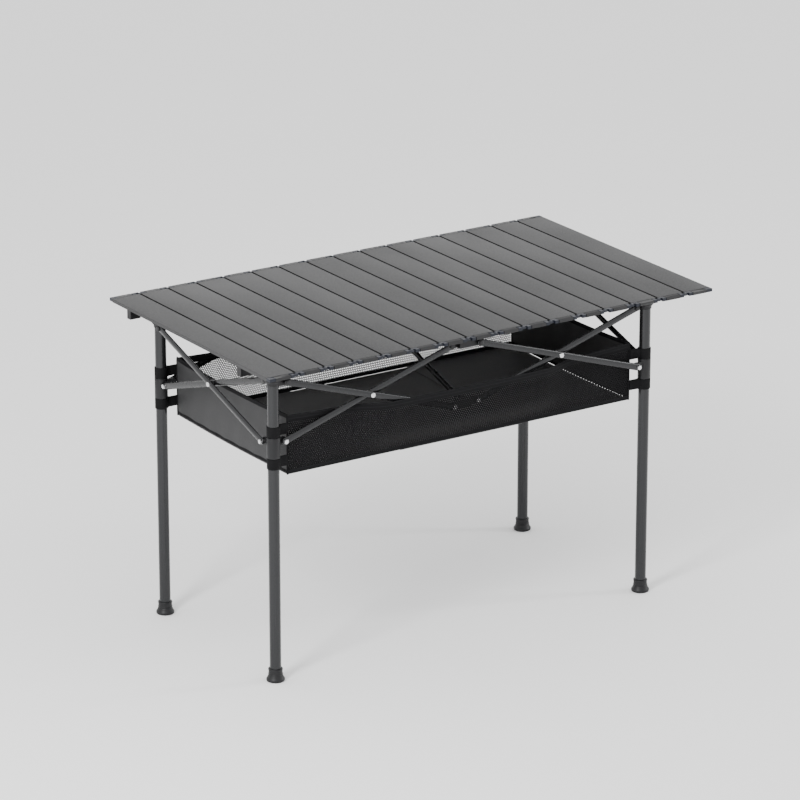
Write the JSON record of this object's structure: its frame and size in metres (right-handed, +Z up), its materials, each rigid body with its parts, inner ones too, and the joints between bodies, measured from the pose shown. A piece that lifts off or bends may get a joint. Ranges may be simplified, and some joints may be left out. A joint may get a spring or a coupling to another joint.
{
  "type": "folding camp table",
  "caption": "Folding camp kitchen table: roll-up slatted top on a scissor frame with corner sliders and a hung mesh basket.",
  "frame": {"origin": "on the floor under the middle of the slatted top", "axes": "+X along the long side towards the wide overhang, +Y from the front long side to the back, +Z up"},
  "size_m": [1.1956, 0.7, 0.717],
  "materials": {
    "slats": "fine brushed dark grey",
    "tubes": "semi-gloss dark grey powder coat",
    "plastic": "moulded black",
    "fabric": "coated woven polyester",
    "mesh": "open black mesh"
  },
  "bodies": {
    "leg_fl": {"leg_tube_fl": "tubes", "foot_fl": "plastic", "top_bracket_fl": "plastic"},
    "leg_fr": {"leg_tube_fr": "tubes", "foot_fr": "plastic", "top_bracket_fr": "plastic"},
    "leg_bl": {"leg_tube_bl": "tubes", "foot_bl": "plastic", "top_bracket_bl": "plastic"},
    "leg_br": {"leg_tube_br": "tubes", "foot_br": "plastic", "top_bracket_br": "plastic"},
    "slider_fl": {"slider_fl": "plastic", "straps_fl": "fabric", "basket_front": "mesh", "basket_back": "mesh", "basket_left": "fabric", "basket_right": "fabric", "basket_bottom": "fabric"},
    "slider_fr": {"slider_fr": "plastic", "straps_fr": "fabric"},
    "slider_bl": {"slider_bl": "plastic", "straps_bl": "fabric"},
    "slider_br": {"slider_br": "plastic", "straps_br": "fabric"},
    "bar_front_left_down": {"bar_front_left_down": "tubes"},
    "bar_front_left_up": {"bar_front_left_up": "tubes"},
    "bar_front_right_down": {"bar_front_right_down": "tubes"},
    "bar_front_right_up": {"bar_front_right_up": "tubes"},
    "bar_back_left_down": {"bar_back_left_down": "tubes"},
    "bar_back_left_up": {"bar_back_left_up": "tubes"},
    "bar_back_right_down": {"bar_back_right_down": "tubes"},
    "bar_back_right_up": {"bar_back_right_up": "tubes"},
    "bar_left_up": {"bar_left_up": "tubes"},
    "bar_left_down": {"bar_left_down": "tubes"},
    "bar_right_up": {"bar_right_up": "tubes"},
    "bar_right_down": {"bar_right_down": "tubes"},
    "bar_cross_down": {"bar_cross_down": "tubes"},
    "bar_cross_up": {"bar_cross_up": "tubes"},
    "hub_top_front": {"hub_top_front": "plastic"},
    "hub_low_front": {"hub_low_front": "plastic"},
    "hub_top_back": {"hub_top_back": "plastic"},
    "hub_low_back": {"hub_low_back": "plastic"},
    "slat_01": {"slat_01": "slats", "top_hooks": "plastic"},
    "slat_02": {"slat_02": "slats"},
    "slat_03": {"slat_03": "slats"},
    "slat_04": {"slat_04": "slats"},
    "slat_05": {"slat_05": "slats"},
    "slat_06": {"slat_06": "slats"},
    "slat_07": {"slat_07": "slats"},
    "slat_08": {"slat_08": "slats"},
    "slat_09": {"slat_09": "slats"},
    "slat_10": {"slat_10": "slats"},
    "slat_11": {"slat_11": "slats"},
    "slat_12": {"slat_12": "slats"},
    "slat_13": {"slat_13": "slats"},
    "slat_14": {"slat_14": "slats"},
    "slat_15": {"slat_15": "slats"},
    "slat_16": {"slat_16": "slats"}
  },
  "joints": [
    {"name": "fold", "type": "hinge", "parent": "leg_fl", "child": "bar_front_left_down", "pos_m": [-0.547, -0.325, 0.6995], "axis": [0, 1, 0], "range_deg": [0, 58], "deforming": ["basket_front", "basket_back", "basket_left", "basket_right", "basket_bottom"]},
    {"name": "fl_up_bar_middle", "type": "hinge", "parent": "bar_front_left_down", "child": "bar_front_left_up", "pos_m": [-0.3285, -0.325, 0.62975], "axis": [0, 1, 0], "range_deg": [-116, 0]},
    {"name": "fl_slider", "type": "hinge", "parent": "bar_front_left_up", "child": "slider_fl", "pos_m": [-0.547, -0.325, 0.56], "axis": [0, 1, 0], "range_deg": [0, 58]},
    {"name": "hub_top_front_turn", "type": "hinge", "parent": "bar_front_left_up", "child": "hub_top_front", "pos_m": [-0.11, -0.325, 0.6995], "axis": [0, 1, 0], "range_deg": [0, 58]},
    {"name": "hub_low_front_turn", "type": "hinge", "parent": "bar_front_left_down", "child": "hub_low_front", "pos_m": [-0.11, -0.325, 0.56], "axis": [0, 1, 0], "range_deg": [-58, 0]},
    {"name": "fr_up_bar", "type": "hinge", "parent": "hub_low_front", "child": "bar_front_right_up", "pos_m": [-0.04, -0.325, 0.56], "axis": [0, 1, 0], "range_deg": [-58, 0]},
    {"name": "fr_down_bar_middle", "type": "hinge", "parent": "bar_front_right_up", "child": "bar_front_right_down", "pos_m": [0.1785, -0.325, 0.62975], "axis": [0, 1, 0], "range_deg": [0, 116]},
    {"name": "fr_leg", "type": "hinge", "parent": "bar_front_right_up", "child": "leg_fr", "pos_m": [0.397, -0.325, 0.6995], "axis": [0, 1, 0], "range_deg": [0, 58]},
    {"name": "fr_slider", "type": "hinge", "parent": "bar_front_right_down", "child": "slider_fr", "pos_m": [0.397, -0.325, 0.56], "axis": [0, 1, 0], "range_deg": [-58, 0]},
    {"name": "left_down_bar", "type": "hinge", "parent": "leg_fl", "child": "bar_left_down", "pos_m": [-0.575, -0.301, 0.6995], "axis": [1, 0, 0], "range_deg": [-58, 0]},
    {"name": "left_up_bar_middle", "type": "hinge", "parent": "bar_left_down", "child": "bar_left_up", "pos_m": [-0.575, -0.0825, 0.62975], "axis": [1, 0, 0], "range_deg": [0, 116]},
    {"name": "bl_leg", "type": "hinge", "parent": "bar_left_up", "child": "leg_bl", "pos_m": [-0.575, 0.136, 0.6995], "axis": [1, 0, 0], "range_deg": [-58, 0]},
    {"name": "bl_slider", "type": "hinge", "parent": "bar_left_down", "child": "slider_bl", "pos_m": [-0.575, 0.136, 0.56], "axis": [1, 0, 0], "range_deg": [0, 58]},
    {"name": "right_down_bar", "type": "hinge", "parent": "leg_fr", "child": "bar_right_down", "pos_m": [0.425, -0.301, 0.6995], "axis": [1, 0, 0], "range_deg": [-58, 0]},
    {"name": "right_up_bar_middle", "type": "hinge", "parent": "bar_right_down", "child": "bar_right_up", "pos_m": [0.425, -0.0825, 0.62975], "axis": [1, 0, 0], "range_deg": [0, 116]},
    {"name": "br_leg", "type": "hinge", "parent": "bar_right_up", "child": "leg_br", "pos_m": [0.425, 0.136, 0.6995], "axis": [1, 0, 0], "range_deg": [-58, 0]},
    {"name": "br_slider", "type": "hinge", "parent": "bar_right_down", "child": "slider_br", "pos_m": [0.425, 0.136, 0.56], "axis": [1, 0, 0], "range_deg": [0, 58]},
    {"name": "bl_down_bar", "type": "hinge", "parent": "leg_bl", "child": "bar_back_left_down", "pos_m": [-0.547, 0.16, 0.6995], "axis": [0, 1, 0], "range_deg": [0, 58]},
    {"name": "bl_up_bar_middle", "type": "hinge", "parent": "bar_back_left_down", "child": "bar_back_left_up", "pos_m": [-0.3285, 0.16, 0.62975], "axis": [0, 1, 0], "range_deg": [-116, 0]},
    {"name": "hub_low_back_turn", "type": "hinge", "parent": "bar_back_left_down", "child": "hub_low_back", "pos_m": [-0.11, 0.16, 0.56], "axis": [0, 1, 0], "range_deg": [-58, 0]},
    {"name": "hub_top_back_turn", "type": "hinge", "parent": "bar_back_left_up", "child": "hub_top_back", "pos_m": [-0.11, 0.16, 0.6995], "axis": [0, 1, 0], "range_deg": [0, 58]},
    {"name": "br_up_bar", "type": "hinge", "parent": "hub_low_back", "child": "bar_back_right_up", "pos_m": [-0.04, 0.16, 0.56], "axis": [0, 1, 0], "range_deg": [-58, 0]},
    {"name": "br_down_bar_middle", "type": "hinge", "parent": "bar_back_right_up", "child": "bar_back_right_down", "pos_m": [0.1785, 0.16, 0.62975], "axis": [0, 1, 0], "range_deg": [0, 116]},
    {"name": "cross_down_bar", "type": "hinge", "parent": "hub_top_front", "child": "bar_cross_down", "pos_m": [-0.075, -0.301, 0.6995], "axis": [1, 0, 0], "range_deg": [-58, 0]},
    {"name": "cross_up_bar_middle", "type": "hinge", "parent": "bar_cross_down", "child": "bar_cross_up", "pos_m": [-0.075, -0.0825, 0.62975], "axis": [1, 0, 0], "range_deg": [0, 116]},
    {"name": "top_lift", "type": "slide", "parent": "leg_fl", "child": "slat_01", "axis": [0, 0, 1], "range_m": [0, 0.25]},
    {"name": "roll", "type": "hinge", "parent": "slat_01", "child": "slat_02", "pos_m": [-0.525, 0, 0.7145], "axis": [0, -1, 0], "range_deg": [0, 39]},
    {"name": "roll_03", "type": "hinge", "parent": "slat_02", "child": "slat_03", "pos_m": [-0.45, 0, 0.7145], "axis": [0, -1, 0], "range_deg": [0, 39.17]},
    {"name": "roll_04", "type": "hinge", "parent": "slat_03", "child": "slat_04", "pos_m": [-0.375, 0, 0.7145], "axis": [0, -1, 0], "range_deg": [0, 39.67]},
    {"name": "roll_05", "type": "hinge", "parent": "slat_04", "child": "slat_05", "pos_m": [-0.3, 0, 0.7145], "axis": [0, -1, 0], "range_deg": [0, 40.52]},
    {"name": "roll_06", "type": "hinge", "parent": "slat_05", "child": "slat_06", "pos_m": [-0.225, 0, 0.7145], "axis": [0, -1, 0], "range_deg": [0, 41.69]},
    {"name": "roll_07", "type": "hinge", "parent": "slat_06", "child": "slat_07", "pos_m": [-0.15, 0, 0.7145], "axis": [0, -1, 0], "range_deg": [0, 43.21]},
    {"name": "roll_08", "type": "hinge", "parent": "slat_07", "child": "slat_08", "pos_m": [-0.075, 0, 0.7145], "axis": [0, -1, 0], "range_deg": [0, 45.06]},
    {"name": "roll_09", "type": "hinge", "parent": "slat_08", "child": "slat_09", "pos_m": [0, 0, 0.7145], "axis": [0, -1, 0], "range_deg": [0, 47.25]},
    {"name": "roll_10", "type": "hinge", "parent": "slat_09", "child": "slat_10", "pos_m": [0.075, 0, 0.7145], "axis": [0, -1, 0], "range_deg": [0, 49.78]},
    {"name": "roll_11", "type": "hinge", "parent": "slat_10", "child": "slat_11", "pos_m": [0.15, 0, 0.7145], "axis": [0, -1, 0], "range_deg": [0, 52.64]},
    {"name": "roll_12", "type": "hinge", "parent": "slat_11", "child": "slat_12", "pos_m": [0.225, 0, 0.7145], "axis": [0, -1, 0], "range_deg": [0, 55.84]},
    {"name": "roll_13", "type": "hinge", "parent": "slat_12", "child": "slat_13", "pos_m": [0.3, 0, 0.7145], "axis": [0, -1, 0], "range_deg": [0, 59.37]},
    {"name": "roll_14", "type": "hinge", "parent": "slat_13", "child": "slat_14", "pos_m": [0.375, 0, 0.7145], "axis": [0, -1, 0], "range_deg": [0, 63.25]},
    {"name": "roll_15", "type": "hinge", "parent": "slat_14", "child": "slat_15", "pos_m": [0.45, 0, 0.7145], "axis": [0, -1, 0], "range_deg": [0, 67.46]},
    {"name": "roll_16", "type": "hinge", "parent": "slat_15", "child": "slat_16", "pos_m": [0.525, 0, 0.7145], "axis": [0, -1, 0], "range_deg": [0, 72]}
  ],
  "couplings": [
    {"joint": "fl_up_bar_middle", "follows": "fold", "ratio": -2},
    {"joint": "fl_slider", "follows": "fold", "ratio": 1},
    {"joint": "hub_top_front_turn", "follows": "fold", "ratio": 1},
    {"joint": "hub_low_front_turn", "follows": "fold", "ratio": -1},
    {"joint": "fr_up_bar", "follows": "fold", "ratio": -1},
    {"joint": "fr_down_bar_middle", "follows": "fold", "ratio": 2},
    {"joint": "fr_leg", "follows": "fold", "ratio": 1},
    {"joint": "fr_slider", "follows": "fold", "ratio": -1},
    {"joint": "left_down_bar", "follows": "fold", "ratio": -1},
    {"joint": "left_up_bar_middle", "follows": "fold", "ratio": 2},
    {"joint": "bl_leg", "follows": "fold", "ratio": -1},
    {"joint": "bl_slider", "follows": "fold", "ratio": 1},
    {"joint": "right_down_bar", "follows": "fold", "ratio": -1},
    {"joint": "right_up_bar_middle", "follows": "fold", "ratio": 2},
    {"joint": "br_leg", "follows": "fold", "ratio": -1},
    {"joint": "br_slider", "follows": "fold", "ratio": 1},
    {"joint": "bl_down_bar", "follows": "fold", "ratio": 1},
    {"joint": "bl_up_bar_middle", "follows": "fold", "ratio": -2},
    {"joint": "hub_low_back_turn", "follows": "fold", "ratio": -1},
    {"joint": "hub_top_back_turn", "follows": "fold", "ratio": 1},
    {"joint": "br_up_bar", "follows": "fold", "ratio": -1},
    {"joint": "br_down_bar_middle", "follows": "fold", "ratio": 2},
    {"joint": "cross_down_bar", "follows": "fold", "ratio": -1},
    {"joint": "cross_up_bar_middle", "follows": "fold", "ratio": 2},
    {"joint": "roll_03", "follows": "roll", "ratio": 1.0043},
    {"joint": "roll_04", "follows": "roll", "ratio": 1.0173},
    {"joint": "roll_05", "follows": "roll", "ratio": 1.0389},
    {"joint": "roll_06", "follows": "roll", "ratio": 1.0691},
    {"joint": "roll_07", "follows": "roll", "ratio": 1.1079},
    {"joint": "roll_08", "follows": "roll", "ratio": 1.1554},
    {"joint": "roll_09", "follows": "roll", "ratio": 1.2115},
    {"joint": "roll_10", "follows": "roll", "ratio": 1.2763},
    {"joint": "roll_11", "follows": "roll", "ratio": 1.3497},
    {"joint": "roll_12", "follows": "roll", "ratio": 1.4317},
    {"joint": "roll_13", "follows": "roll", "ratio": 1.5224},
    {"joint": "roll_14", "follows": "roll", "ratio": 1.6217},
    {"joint": "roll_15", "follows": "roll", "ratio": 1.7296},
    {"joint": "roll_16", "follows": "roll", "ratio": 1.8462}
  ]
}
